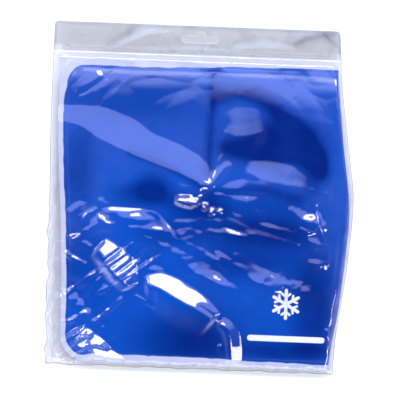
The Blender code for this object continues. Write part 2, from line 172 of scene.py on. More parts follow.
def smooth_path(points, step=3.0):
    """A Catmull-Rom curve through the given points."""
    p = np.array([points[0], *points, points[-1]], float)
    p[0], p[-1] = 2 * p[1] - p[2], 2 * p[-2] - p[-3]
    out = []
    for k in range(len(points) - 1):
        a, b, c, d = p[k:k + 4]
        for t in np.linspace(0, 1, max(3, int(np.hypot(*(c - b)) / step)), endpoint=False):
            out.append(0.5 * (2 * b + (c - a) * t + (2 * a - 5 * b + 4 * c - d) * t ** 2
                              + (3 * b - a - 3 * c + d) * t ** 3))
    return np.array([*out, p[-2]])


def from_path(x, y, curve):
    """Signed distance from a path, positive on its left, and the share of the path passed."""
    best = np.full(x.shape, 1e9)
    side = np.ones(x.shape)
    share = np.zeros(x.shape)
    for k in range(len(curve) - 1):
        a, run = curve[k], curve[k + 1] - curve[k]
        t = np.clip(((x - a[0]) * run[0] + (y - a[1]) * run[1]) / (run @ run), 0.0, 1.0)
        dx, dy = x - a[0] - t * run[0], y - a[1] - t * run[1]
        d = dx * dx + dy * dy
        closer = d < best
        best = np.where(closer, d, best)
        side = np.where(closer, np.sign(run[0] * dy - run[1] * dx), side)
        share = np.where(closer, (k + t) / (len(curve) - 1), share)
    return np.sqrt(best) * side, share


class Relief:
    """Folds added to a sheet's height, in millimetres, at the points x, y."""

    def __init__(self, x, y):
        self.x, self.y = x, y
        self.z = np.zeros(x.shape)

    def along(self, points, reach, shape):
        """Adds shape(distance, share) to the height within reach of a path."""
        curve = smooth_path(points)
        low, high = curve.min(0) - reach, curve.max(0) + reach
        near = (self.x > low[0]) & (self.x < high[0]) & (self.y > low[1]) & (self.y < high[1])
        if near.any():
            d, share = from_path(self.x[near], self.y[near], curve)
            self.z[near] += shape(d, share)

    def facet(self, points, widths, slope, back=20.0, ends=0.12):
        """A flat facet as wide as widths says along its path, which slopes down to the path's left."""
        widths = np.atleast_1d(np.array(widths, float))

        def shape(d, share):
            width = np.interp(share, np.linspace(0, 1, len(widths)), widths)
            d = d + width / 2
            rise = ramp(-back, 0.0, d) * (1 - np.clip(d / width, 0.0, 1.0))
            return slope * width * rise * ramp(0, ends, share) * ramp(0, ends, 1 - share)

        self.along(points, back + widths.max(), shape)

    def crease(self, points, width, height, ends=0.2):
        """A sharp ridge along a path, or with a negative height a valley."""
        def shape(d, share):
            taper = ramp(0, ends, share) * ramp(0, ends, 1 - share)
            return height * np.exp(-np.abs(d) / width) * taper

        self.along(points, 5 * width, shape)


def crumple(x, y, seed, spacing, height, angle=0.0, stretch=1.0):
    """Heights of a crumpled film: flat facets with sharp folds between them, longer along the angle."""
    rng = np.random.default_rng(seed)
    tile = 64                  # cells after which the pattern repeats
    heights = rng.uniform(-height, height, (tile, tile))
    turn = math.radians(angle)
    u = (x * math.cos(turn) + y * math.sin(turn)) / (spacing * stretch) + 200.0
    v = (y * math.cos(turn) - x * math.sin(turn)) / spacing + 200.0
    u, v = u + 0.34 * np.sin(2.1 * v + seed) + 0.2 * np.sin(4.7 * v), v + 0.34 * np.sin(1.7 * u + 2 * seed)
    cell_u, cell_v = np.floor(u).astype(int), np.floor(v).astype(int)
    fu, fv = u - cell_u, v - cell_v
    h00, h10, h01, h11 = [heights[(cell_u + i) % tile, (cell_v + j) % tile]
                          for i, j in ((0, 0), (1, 0), (0, 1), (1, 1))]
    low = h00 + (h10 - h00) * fu + (h01 - h00) * fv
    high = h11 + (h01 - h11) * (1 - fu) + (h10 - h11) * (1 - fv)
    return np.where(fu + fv < 1, low, high)


def linked(name, data):
    """A new object in the scene."""
    obj = bpy.data.objects.new(name, data)
    bpy.context.scene.collection.objects.link(obj)
    return obj


def stands_for(piece, node, body):
    """Puts a piece in a CAD node's place and on its body."""
    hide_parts(node)
    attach(piece, body)


def new_object(name, points, faces, material):
    """A smooth mesh from points in millimetres."""
    mesh = bpy.data.meshes.new(name)
    mesh.from_pydata((np.asarray(points) * MM).tolist(), [], faces)
    mesh.shade_smooth()
    mesh.materials.append(material)
    return linked(name, mesh)


def grid_quads(rows, columns):
    """Quads between neighbouring points of a grid."""
    at = np.arange(rows * columns).reshape(rows, columns)
    return np.stack([at[:-1, :-1], at[:-1, 1:], at[1:, 1:], at[1:, :-1]], -1).reshape(-1, 4)


def grid_object(name, x, y, z, material):
    """A mesh of quads over rows by columns arrays of points."""
    return new_object(name, np.stack([x, y, z], -1).reshape(-1, 3), grid_quads(*z.shape).tolist(), material)


def two_sided(x, y, upper, lower):
    """Points and faces of a grid and of the one that closes it from below."""
    points = np.concatenate([np.stack([x, y, z], -1).reshape(-1, 3) for z in (upper, lower)])
    quads = grid_quads(*x.shape)
    return points, [*quads.tolist(), *(quads[:, ::-1] + x.size).tolist()]


def sheet_object(name, outline, hole, spacing, height, material):
    """A sheet inside an outline, with an optional hole, triangulated evenly. height gives its z at x, y."""
    def edge_points(loop):
        out = []
        for a, b in zip(loop, np.roll(loop, -1, 0)):
            steps = max(1, int(np.hypot(*(b - a)) / spacing))
            out += [a + (b - a) * k / steps for k in range(steps)]
        return np.array(out)

    loops = [edge_points(np.array(outline, float))] + ([edge_points(np.array(hole, float))] if hole else [])
    low, high = loops[0].min(0), loops[0].max(0)
    gx, gy = np.meshgrid(np.arange(low[0], high[0], spacing), np.arange(low[1], high[1], spacing))
    inner = np.stack([gx.ravel(), gy.ravel()], -1)
    keep = np.ones(len(inner), bool)
    for number, loop in enumerate(loops):
        inside, gap = point_in_loop(inner, loop)
        keep &= (inside if number == 0 else ~inside) & (gap > 0.6 * spacing)
    points = np.concatenate([*loops, inner[keep]])
    edges, start = [], 0
    for loop in loops:
        count = len(loop)
        edges += [(start + k, start + (k + 1) % count) for k in range(count)]
        start += count
    flat, _, faces, *_ = delaunay_2d_cdt([Vector(p) for p in points], edges, [], 1, 1e-4)
    flat = np.array([(p.x, p.y) for p in flat])
    if hole:
        centres = np.array([flat[list(f)].mean(0) for f in faces])
        in_hole, _ = point_in_loop(centres, loops[1])
        faces = [f for f, out in zip(faces, in_hole) if not out]
    z = height(flat[:, 0], flat[:, 1])
    return new_object(name, np.column_stack([flat, z]), [list(f) for f in faces], material)


def point_in_loop(points, loop):
    """Whether each point is inside a closed loop, and how far it is from the loop's corners."""
    x, y = points[:, 0], points[:, 1]
    inside = np.zeros(len(points), bool)
    gap = np.full(len(points), 1e9)
    for (ax, ay), (bx, by) in zip(loop, np.roll(loop, -1, 0)):
        crosses = (ay > y) != (by > y)
        at = ax + (y - ay) / (by - ay if by != ay else 1e-9) * (bx - ax)
        inside ^= crosses & (x < at)
        gap = np.minimum(gap, np.hypot(x - ax, y - ay))
    return inside, gap


def add_values(obj, name, values):
    layer = obj.data.attributes.new(name, "FLOAT", "POINT")
    layer.data.foreach_set("value", np.asarray(values, np.float32).ravel())


def points_of(obj):
    flat = np.empty(len(obj.data.vertices) * 3)
    obj.data.vertices.foreach_get("co", flat)
    return flat.reshape(-1, 3) / MM


# ---- Materials ----

class Tree:
    """Short names for building a node tree."""

    def __init__(self, tree):
        self.tree = tree

    def add(self, kind, **values):
        node = self.tree.nodes.new(kind)
        for key, value in values.items():
            if hasattr(node, key):
                setattr(node, key, value)
            else:
                node.inputs[key.replace("_", " ")].default_value = value
        return node

    def link(self, source, target):
        self.tree.links.new(source, target)

    def math(self, operation, a, b=0.0, clamp=False):
        node = self.add("ShaderNodeMath", operation=operation, use_clamp=clamp)
        for socket, source in zip(node.inputs, (a, b)):
            if isinstance(source, (int, float)):
                socket.default_value = source
            else:
                self.link(source, socket)
        return node.outputs[0]

    def times(self, a, b):
        return self.math("MULTIPLY", a, b)

    def plus(self, a, b, clamp=False):
        return self.math("ADD", a, b, clamp)

    def spread(self, source, low, high, out_low=0.0, out_high=1.0):
        """A socket's value from low to high, brought smoothly to out_low to out_high."""
        node = self.add("ShaderNodeMapRange", interpolation_type="SMOOTHSTEP")
        for socket, value in zip(node.inputs[1:5], (low, high, out_low, out_high)):
            socket.default_value = value
        self.link(source, node.inputs[0])
        return node.outputs[0]

    def blend(self, fac, a, b):
        """A colour between two, each a colour or a socket."""
        node = self.add("ShaderNodeMix", data_type="RGBA")
        self.link(fac, node.inputs[0])
        for socket, source in ((node.inputs[6], a), (node.inputs[7], b)):
            if isinstance(source, tuple):
                socket.default_value = (*source, 1.0)
            else:
                self.link(source, socket)
        return node.outputs[2]


class Nodes(Tree):
    """The node tree of a new material."""

    def __init__(self, name):
        self.material = bpy.data.materials.new(name)
        self.material.use_nodes = True
        super().__init__(self.material.node_tree)
        self.shader = self.tree.nodes["Principled BSDF"]
        self.output = self.tree.nodes["Material Output"]

    def value(self, name):
        return self.add("ShaderNodeAttribute", attribute_name=name).outputs["Fac"]

    def place(self):
        """Object position in millimetres."""
        mapping = self.add("ShaderNodeMapping")
        mapping.inputs["Scale"].default_value = [1.0 / MM] * 3
        self.link(self.add("ShaderNodeTexCoord").outputs["Object"], mapping.inputs["Vector"])
        return mapping.outputs["Vector"]

    def noise(self, per_mm, detail=3.0, distortion=0.0):
        node = self.add("ShaderNodeTexNoise", Scale=per_mm, Detail=detail, Distortion=distortion)
        self.link(self.place(), node.inputs["Vector"])
        return node.outputs["Fac"]

    def surface(self, colour, per_mm, rough, detail=3.0, bump=None):
        """Gives the shader a colour, a roughness that varies between two values, and a bump."""
        self.link(colour, self.shader.inputs["Base Color"])
        self.link(self.spread(self.noise(per_mm, detail), 0.3, 0.7, *rough), self.shader.inputs["Roughness"])
        if bump:
            self.link(self.bump(*bump), self.shader.inputs["Normal"])

    def bump(self, height, strength, distance):
        node = self.add("ShaderNodeBump", Strength=strength, Distance=distance)
        self.link(height, node.inputs["Height"])
        return node.outputs["Normal"]

    def mix_shader(self, *sources):
        """Mixes two shaders by a factor."""
        node = self.add("ShaderNodeMixShader")
        for source, socket in zip(sources, node.inputs):
            self.link(source, socket)
        return node.outputs[0]


def blue_film_material():
    """Glossy film over blue gel, with a pale welded rim, and painted shade and a painted reflection in its
    blue.
    """
    n = Nodes("blue_film")
    ragged = n.plus(n.value("rim_mm"), n.spread(n.noise(0.07), 0.3, 0.7, -0.5, 0.5))
    gel = n.spread(ragged, RIM - 0.4, RIM + 0.4)
    mottle = n.spread(n.noise(0.02, 3.0), 0.35, 0.7, -0.10, 0.12)
    shade_and_depth = n.plus(n.value("depth_and_painted_shade"), mottle, True)
    # The blue darkens with the painted shade, with a random mottle on top
    blue = n.blend(shade_and_depth, (0.0012, 0.072, 0.44), (0.0, 0.016, 0.18))
    # Then pales towards light blue: a little milkiness of the film, and a painted reflection
    haze_and_reflection = n.times(n.value("haze_and_reflection"), n.spread(n.noise(0.04, 5.0, 0.6), 0.3, 0.75, 0.5, 1.0))
    blue = n.blend(haze_and_reflection, blue, (0.22, 0.30, 0.75))
    pale = n.blend(n.noise(0.12, 4.0), (0.44, 0.47, 0.64), (0.58, 0.60, 0.76))
    n.surface(n.blend(gel, pale, blue), 0.09, (0.08, 0.16), 4.0, (n.noise(0.25, 4.0), 0.10, 0.0005))
    n.shader.inputs["IOR"].default_value = 1.28
    return n.material


def clear_film_material(name, passed, creased, shine, haze_and_reflection):
    """Thin clear film: light goes straight through it, tinted, and it mirrors the lights, more at a slant."""
    n = Nodes(name)
    n.tree.nodes.remove(n.shader)
    # Tinted darker and milkier at the welds, and along creases and folds as painted shade
    seam_and_crease_shade = n.plus(n.value("seam_and_crease_shade"), n.spread(n.noise(0.09, 5.0, 1.0), 0.5, 0.8, 0.0, 0.25), True)
    clear = n.add("ShaderNodeBsdfTransparent")
    n.link(n.blend(seam_and_crease_shade, passed, creased), clear.inputs["Color"])
    gloss = n.add("ShaderNodeBsdfGlossy")
    n.link(n.spread(n.noise(0.05, 4.0), 0.3, 0.7, 0.03, 0.08), gloss.inputs["Roughness"])
    n.link(n.blend(n.noise(0.03), (0.97, 0.97, 1.0), (1.0, 0.98, 1.0)), gloss.inputs["Color"])
    n.link(n.bump(n.noise(0.14, 4.0), 0.05, 0.0006), gloss.inputs["Normal"])
    milky = n.add("ShaderNodeBsdfDiffuse")
    n.link(n.blend(n.noise(0.05), (0.80, 0.82, 0.88), (0.90, 0.92, 0.96)), milky.inputs["Color"])
    facing = n.add("ShaderNodeLayerWeight", Blend=0.5).outputs["Facing"]
    slant = n.times(n.math("POWER", facing, 4.0), 0.8)
    mirror = n.plus(slant, shine, True)
    scatter = n.spread(n.noise(0.025, 6.0, 0.8), 0.35, 0.8, haze_and_reflection * 0.3, haze_and_reflection)
    scatter = n.plus(scatter, n.times(n.value("seam_and_crease_shade"), haze_and_reflection), True)
    body = n.mix_shader(scatter, clear.outputs[0], milky.outputs[0])
    n.link(n.mix_shader(mirror, body, gloss.outputs[0]), n.output.inputs["Surface"])
    return n.material


def gel_material():
    n = Nodes("cooling_gel")
    cloudy = n.spread(n.noise(0.03, 4.0, 0.5), 0.3, 0.7)
    colour = n.blend(cloudy, (0.004, 0.07, 0.50), (0.002, 0.03, 0.34))
    n.surface(colour, 0.1, (0.2, 0.35), bump=(n.noise(0.08), 0.3, 0.001))
    return n.material


def ink_material():
    n = Nodes("white_ink")
    worn = n.spread(n.noise(0.35, 6.0), 0.25, 0.45)
    n.surface(n.blend(worn, (0.62, 0.66, 0.80), (0.78, 0.80, 0.86)), 0.5, (0.3, 0.5))
    return n.material


def webbing_material():
    """Knitted elastic: fine ribs along the strap and rows of loops across it."""
    n = Nodes("elastic_webbing")
    place = n.place()
    waves = []
    for direction, scale in (("Y", 0.28), ("X", 0.2)):
        wave = n.add("ShaderNodeTexWave", bands_direction=direction, Scale=scale, Distortion=0.5)
        n.link(place, wave.inputs["Vector"])
        waves.append(wave.outputs["Fac"])
    knit = n.times(*waves)
    # Lighter on the raised knit and darker in its grooves: painted shade
    colour = n.blend(knit, (0.006, 0.008, 0.02), (0.035, 0.045, 0.09))
    n.surface(colour, 0.6, (0.75, 0.95), bump=(knit, 0.6, 0.0004))
    n.shader.inputs["Sheen Weight"].default_value = 0.25
    return n.material


def pile_material(name, low, high, per_mm, strength):
    """Hook tape or loop pile: a dense field of small tufts."""
    n = Nodes(name)
    tufts = n.add("ShaderNodeTexVoronoi", Scale=per_mm, Randomness=0.8)
    n.link(n.place(), tufts.inputs["Vector"])
    height = n.spread(tufts.outputs["Distance"], 0.0, 0.6, 1.0, 0.0)
    # Lighter on the tufts and darker between them: painted shade in the hollows
    n.surface(n.blend(height, low, high), 0.4, (0.7, 0.9), bump=(height, strength, 0.0006))
    n.shader.inputs["Sheen Weight"].default_value = 0.3
    return n.material


BLUE = blue_film_material()
# Each film's second colour is its tint at the welds and, as painted shade, at creases and folds
CLEAR = clear_film_material("clear_film", (0.93, 0.935, 0.945), (0.72, 0.72, 0.75), 0.075, 0.002)
HEADER = clear_film_material("header_film", (0.985, 0.992, 0.978), (0.84, 0.86, 0.89), 0.04, 0.03)
TAB = clear_film_material("tab_film", (0.957, 0.963, 0.958), (0.84, 0.86, 0.89), 0.03, 0.02)
GEL = gel_material()
INK = ink_material()
WEBBING = webbing_material()
LOOP = pile_material("loop_pile", (0.006, 0.008, 0.02), (0.04, 0.05, 0.1), 1.2, 0.8)
HOOK = pile_material("hook_tape", (0.30, 0.32, 0.36), (0.70, 0.73, 0.78), 0.7, 1.0)


# ---- Wrap ----

def left_side(y):
    return LEFT_X + by_height(LEFT_LEAN, y, 15.0)


def fold_reach(y):
    """How far the fold stands out from the halves' straight edge."""
    return np.maximum(FOLD_REACH + by_height(FOLD_OUT, y, 10.0), 1.0)


def inside_rim(x, y):
    """Distance inwards from the wrap's outline, which has round left corners and no rim on the right."""
    half_x = 400.0             # far enough for the right corners never to matter
    qx = np.abs(x - left_side(y) - half_x) - (half_x - RIM_RADIUS)
    qy = np.abs(y - MID_Y) - (HALF_LENGTH - RIM_RADIUS)
    outside = np.hypot(np.maximum(qx, 0), np.maximum(qy, 0))
    return RIM_RADIUS - outside - np.minimum(np.maximum(qx, qy), 0)


def corner_inset(y):
    """How far the round corners draw the wrap's left side in."""
    over = np.clip(RIM_RADIUS - np.minimum(TOP_Y - y, y - LOW_Y), 0, RIM_RADIUS)
    return RIM_RADIUS - np.sqrt(RIM_RADIUS ** 2 - over ** 2)


def pillow(x, y):
    """Share of a pouch's full thickness: none on the rim, rounding up over the shoulder."""
    return rounded((inside_rim(x, y) - RIM) / SHOULDER)


def swell(x, y):
    """Slow waves in the gel, in millimetres."""
    z = 0.30 * np.sin(x / 29 + 0.6 * np.sin(y / 31)) * np.cos(y / 33 + 0.4)
    z += 0.12 * np.sin(x / 11 + y / 17 + 1.3) * np.sin(y / 13 - x / 37)
    relief = Relief(x, y)
    relief.crease([(9, 114), (8, 77), (6, 42), (8, 4)], 4.0, -0.8, 0.1)
    return z + relief.z


def front_top(x, y):
    """Height of the front half's outer film."""
    share = pillow(x, y)
    return mix(FRONT_RIM_Z + RIM_GAP, FRONT_TOP_Z - 0.3, share) + swell(x, y) * share


def depth_and_painted_shade(x, y):
    """How dark the blue is, from 0 to 1: painted shade in dark patches and along the creases, over a faint even
    base.
    """
    blobs = [
        (66, 50, 38, 22, 0.95), (96, 26, 12, 20, 0.5), (-2, -8, 26, 12, 0.7), (-40, 8, 16, 14, 0.55),
        (-6, -122, 44, 26, 0.8), (100, -86, 20, 46, 0.75), (78, -128, 40, 9, 0.6), (-60, 84, 60, 22, 0.35),
        (-104, 20, 14, 40, 0.35), (30, -56, 40, 12, 0.3), (-100, -60, 24, 30, 0.35), (56, -28, 44, 12, 0.35),
        (-24, -30, 30, 12, 0.4), (-46, 1, 26, 11, 0.6), (52, -26, 54, 34, 0.42),
    ]
    shade_and_depth = np.full(x.shape, 0.10)
    for bx, by, rx, ry, amount in blobs:
        shade_and_depth += amount * np.exp(-(((x - bx) / rx) ** 2 + ((y - by) / ry) ** 2) ** 1.5)
    # Darker lines along the creases and folds: painted shade
    for path, width, amount in (([(13, 87), (32, 91), (54, 82), (86, 58), (103, 26)], 7, 0.8),
                                ([(22, 43), (50, 40), (80, 42), (100, 36)], 8, 0.7),
                                ([(9, 110), (7, 60), (6, 20)], 4, 0.5),
                                ([(-60, 36), (-30, 26), (4, 8)], 3.5, 0.5),
                                ([(11, 4), (48, 9), (84, 2)], 5, 0.4)):
        d, _ = from_path(x, y, smooth_path(path, 6.0))
        shade_and_depth += amount * np.exp(-(d / width) ** 2)
    return np.clip(shade_and_depth, 0, 1)


def painted_reflection_and_haze(x, y):
    """How much the blue is paled: a faint milkiness of the film everywhere, and a painted reflection, most over
    the upper half and at the left and right.
    """
    left = ramp(-60, -90, x) * ramp(-70, -40, y)
    right = ramp(80, 100, x)
    amount = np.maximum(0.085 * ramp(-20, 30, y), 0.09 * np.maximum(left, right))
    return (0.03 + amount) * (1 - depth_and_painted_shade(x, y)) ** 2


def pouch_grid(columns, rows, edges, right_x, inset=0.0, corner=1.0):
    """Points over one pouch half, closer together at its edges, whose left side follows the round corners."""
    ys = spaced(LOW_Y + inset, TOP_Y - inset, rows, 0.6, 0.6)[:, None]
    left = left_side(ys) + inset + corner * corner_inset(ys)
    x = mix(left, right_x, spaced(0.0, 1.0, columns, *edges)[None, :])
    return x, ys + 0 * x


def build_outer_skin():
    """The one outer film, from the front half's rim over the fold and back under the rear half."""
    x, y = pouch_grid(170, 200, (0.8, 0.0), FOLD_X)
    ys = y[:, :1]
    top_z = front_top(x, y)
    under_z = mix(REAR_RIM_Z - RIM_GAP, REAR_BASE_Z, pillow(x, y))
    turn = np.pi * (0.5 - np.linspace(0, 1, 34)[None, 1:-1])
    turn = turn[:, np.abs(np.sin(turn[0])) > FOLD_WALL]
    reach = fold_reach(ys)
    bend_x = FOLD_X + reach * np.cos(turn) ** FOLD_SQUARE
    rise = np.where(turn > 0, top_z[:, -1:] - FOLD_MID_Z, FOLD_MID_Z - under_z[:, -1:])
    bend_z = FOLD_MID_Z + rise * np.sign(turn) * np.abs(np.sin(turn)) ** FOLD_SQUARE
    xs = np.concatenate([x, bend_x, x[:, ::-1]], 1)
    zs = np.concatenate([top_z, bend_z, under_z[:, ::-1]], 1)
    all_y = ys + 0 * xs
    skin = grid_object("outer_skin", xs, all_y, zs, BLUE)
    thin = 3.0 * ramp(-85, -100, xs) * ramp(100, 75, all_y)
    thin += 3.5 * ramp(-60, 60, xs) * ramp(40, 70, all_y)
    thin += 2.0 * ramp(0, 90, xs) * ramp(-100, -125, all_y)
    add_values(skin, "rim_mm", inside_rim(np.minimum(xs, FOLD_X), all_y) + thin)
    add_values(skin, "depth_and_painted_shade", depth_and_painted_shade(xs, all_y))
    add_values(skin, "haze_and_reflection", painted_reflection_and_haze(xs, all_y))
    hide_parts("front_outer_film", "fold_bridge", "rear_outer_film")
    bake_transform(skin)


def build_inner_skin(name, node, body, rim_z, level_z):
    """The film on the inner side of one pouch half, welded to the outer one at its rim."""
    right_x = FOLD_X - 0.5
    x, y = pouch_grid(110, 120, (0.8, 0.5), right_x)
    z = mix(rim_z, level_z, pillow(x, y) * rounded((right_x - x) / 5.0))
    skin = grid_object(name, x, y, z, BLUE)
    add_values(skin, "rim_mm", np.minimum(inside_rim(x, y), (FOLD_X - x) + RIM * 0.7))
    add_values(skin, "depth_and_painted_shade", 0.25 + 0.2 * np.sin(x / 31) * np.cos(y / 27))
    add_values(skin, "haze_and_reflection", np.full(z.shape, 0.03))
    stands_for(skin, node, body)


def build_gel(name, node, body, top, bottom):
    """Gel that fills one pouch half, a closed form a little inside its films."""
    inset, right_x = RIM + 1.0, FOLD_X - 3.0
    x, y = pouch_grid(60, 64, (0.6, 0.6), right_x, inset, 0.6)
    share = rounded(np.minimum(inside_rim(x, y) - inset, right_x - x) / SHOULDER)
    middle = (top + bottom) / 2
    points, faces = two_sided(x, y, middle + (top - middle) * share, middle + (bottom - middle) * share)
    gel = new_object(name, points, faces, GEL)
    bm = bmesh.new()
    bm.from_mesh(gel.data)
    bmesh.ops.remove_doubles(bm, verts=bm.verts, dist=0.02 * MM)
    bm.to_mesh(gel.data)
    bm.free()
    stands_for(gel, node, body)


def print_patch(name, node, outlines, spacing=1.6, ink=0.12):
    """White ink that follows the front skin, inside the given outlines."""
    parts = [sheet_object(name, outline, None, spacing, lambda x, y: front_top(x, y) + ink, INK)
             for outline in outlines]
    whole = parts[0]
    bm = bmesh.new()
    for part in parts:
        bm.from_mesh(part.data)
    bm.to_mesh(whole.data)
    bm.free()
    for part in parts[1:]:
        bpy.data.objects.remove(part)
    whole.data.shade_smooth()
    stands_for(whole, node, "wrap_front")


def way(angle):
    """Unit vector at an angle."""
    return np.array([math.cos(angle), math.sin(angle)])


def round_bar(start, end, width):
    """Outline of a straight bar with round ends."""
    a, b = np.array(start, float), np.array(end, float)
    along = math.atan2(*(b - a)[::-1])
    return [centre + width / 2 * way(along + turned + math.pi * k / 8)
            for centre, turned in ((b, -math.pi / 2), (a, math.pi / 2)) for k in range(9)]


def build_mark():
    """A plain snowflake over a bar, the generic mark of a cold pack."""
    centre = (FLAKE_LOW[:2] + FLAKE_HIGH[:2]) / 2
    arm = (FLAKE_HIGH[1] - FLAKE_LOW[1]) / 2 - 1.6
    bars = []
    for k in range(6):
        angle = math.pi * (0.5 + k / 3)
        if k < 3:
            bars.append(round_bar(centre - arm * way(angle), centre + arm * way(angle), STEM_WIDTH))
        root = centre + TWIG_ROOT * arm * way(angle)
        for side in (-1, 1):
            tip = root + TWIG_LENGTH * arm * way(angle + side * math.radians(TWIG_ANGLE))
            bars.append(round_bar(root, tip, TWIG_WIDTH))
    print_patch("flake_print", "printed_flake", bars)
    y = (BAR_LOW[1] + BAR_HIGH[1]) / 2
    width = BAR_HIGH[1] - BAR_LOW[1]
    ends = BAR_LOW[0] + width / 2, BAR_HIGH[0] - width / 2
    print_patch("bar_print", "printed_bar", [round_bar((ends[0], y), (ends[1], y), width)])


# ---- Strap ----

def build_strap():
    """One length of elastic, sewn at its root, folded back over itself at the bend."""
    mid_z = [(low[2] + high[2]) / 2 for low, high in ((FIXED_LOW, FIXED_HIGH), (FREE_LOW, FREE_HIGH))]
    thick = FIXED_HIGH[2] - FIXED_LOW[2]
    bend_x = FIXED_HIGH[0]
    centre_z, radius = sum(mid_z) / 2, (mid_z[1] - mid_z[0]) / 2
    lower = np.linspace(FIXED_LOW[0], bend_x, 90)
    turn = np.linspace(-np.pi / 2, np.pi / 2, 14)[1:-1]
    upper = np.linspace(bend_x, FREE_LOW[0], 86)
    px = np.concatenate([lower, bend_x + radius * np.cos(turn), upper])
    pz = np.concatenate([mid_z[0] + 0 * lower, centre_z + radius * np.sin(turn), mid_z[1] + 0 * upper])
    ys = np.linspace(FIXED_LOW[1], FIXED_HIGH[1], 34)[:, None]
    x = px[None, :] + 0 * ys
    edge = np.minimum(ys - FIXED_LOW[1], FIXED_HIGH[1] - ys)
    roll = 0.10 * np.sin(px[None, :] / 6.0) * ramp(6, 0, edge) * (np.abs(px[None, :]) < 60)
    strap = grid_object("strap", x, ys + 0 * x, pz[None, :] + roll, WEBBING)
    solid = strap.modifiers.new("thickness", "SOLIDIFY")
    solid.thickness = thick * MM * 0.7
    solid.offset = 0
    apply_modifiers(strap)
    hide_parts("strap_fixed_run", "strap_bend", "strap_free_run")
    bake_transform(strap)


def build_patch(name, node, body, material, low, high):
    """A fastening patch with a raised field inside a sewn border."""
    x, y = np.meshgrid(np.linspace(low[0], high[0], 60), np.linspace(low[1], high[1], 100))
    edge = np.minimum(np.minimum(x - low[0], high[0] - x), np.minimum(y - low[1], high[1] - y))
    rng = np.random.default_rng(3)
    tufts = rng.uniform(0, 0.10, x.shape) * ramp(2.5, 3.5, edge)
    up = ramp(0, 1.2, edge)
    seam = 0.12 * np.exp(-((edge - 2.2) / 0.5) ** 2)
    half = (high[2] - low[2]) / 2 - 0.05
    middle = (low[2] + high[2]) / 2
    z = half * (0.45 + 0.35 * up) + tufts - seam
    points, faces = two_sided(x, y, middle + z, middle - z)
    at = np.arange(x.size).reshape(x.shape)
    ring = np.concatenate([at[0, :], at[1:, -1], at[-1, -2::-1], at[-2:0:-1, 0]])
    after = np.roll(ring, -1)
    walls = np.stack([ring, ring + x.size, after + x.size, after], -1).tolist()
    stands_for(new_object(name, points, [*faces, *walls], material), node, body)


def apply_modifiers(obj):
    """Keeps an object's evaluated mesh and drops its modifiers."""
    graph = bpy.context.evaluated_depsgraph_get()
    mesh = bpy.data.meshes.new_from_object(obj.evaluated_get(graph))
    obj.modifiers.clear()
    obj.data = mesh


# ---- Bag ----

def bag_left(y):
    wave = 0.7 * np.sin(y / 4.1) + 0.5 * np.sin(y / 2.3 + 1) + 0.6 * np.sin(y / 9.7 + 2)
    return BAG_LOW[0] + by_height(LEFT_SIDE, y, 15.0) + wave * ramp(12, -40, y)


def bag_right(y):
    return BAG_HIGH[0] + by_height(RIGHT_SIDE, y)


def bag_bottom(x):
    return BAG_LOW[1] + 0.35 * np.sin(x / 7) + 0.3 * np.sin(x / 3.1 + 2)


def cloth_puckers(columns=92, rows=96, excess=0.012, frames=22):
    """Heights, over the wrap, of a film a little too large for its weld, from a cloth simulation."""
    x, y = np.meshgrid(np.linspace(*PUCKER_SPAN, columns), np.linspace(LOW_Y, TOP_Y, rows))
    z = 0.25 * np.sin(x / 9.0 + y / 21.0) * np.sin(y / 12.0 - x / 31.0)
    sheet = grid_object("pucker_source", x, y, z, CLEAR)
    at = np.arange(rows * columns).reshape(rows, columns)
    border = np.concatenate([at[0], at[-1], at[:, 0], at[:, -1]])
    sheet.vertex_groups.new(name="weld").add([int(k) for k in border], 1.0, "REPLACE")
    cloth = sheet.modifiers.new("cloth", "CLOTH").settings
    cloth.quality = 6
    cloth.vertex_group_mass = "weld"
    cloth.tension_stiffness = cloth.compression_stiffness = 20.0
    cloth.bending_stiffness = 0.3
    cloth.shrink_min = -excess
    cloth.use_pressure = True
    cloth.uniform_pressure_force = 1.5
    cloth.effector_weights.gravity = 0.0
    scene = bpy.context.scene
    for frame_number in range(1, frames + 1):
        scene.frame_set(frame_number)
    apply_modifiers(sheet)
    height = points_of(sheet)[:, 2].reshape(rows, columns)
    scene.frame_set(1)
    bpy.data.objects.remove(sheet)
    return height


def finer_part(height, passes=60):
    """A height field less its own smooth form."""
    smooth = height.copy()
    for _ in range(passes):
        padded = np.pad(smooth, 1, mode="edge")
        smooth = (padded[:-2, 1:-1] + padded[2:, 1:-1] + padded[1:-1, :-2] + padded[1:-1, 2:]) / 4
    return height - smooth


def sample(height, x, y):
    """The puckers' height at x, y, capped."""
    if height is None:
        return np.zeros(np.shape(x))
    rows, columns = height.shape
    u = np.clip((x - PUCKER_SPAN[0]) / (PUCKER_SPAN[1] - PUCKER_SPAN[0]), 0, 1) * (columns - 1.001)
    v = np.clip((y - LOW_Y) / (TOP_Y - LOW_Y), 0, 1) * (rows - 1.001)
    j, i = u.astype(int), v.astype(int)
    fu, fv = u - j, v - i
    low = mix(height[i, j], height[i, j + 1], fu)
    high = mix(height[i + 1, j], height[i + 1, j + 1], fu)
    return np.clip(mix(low, high, fv), -PUCKER_CAP, PUCKER_CAP)


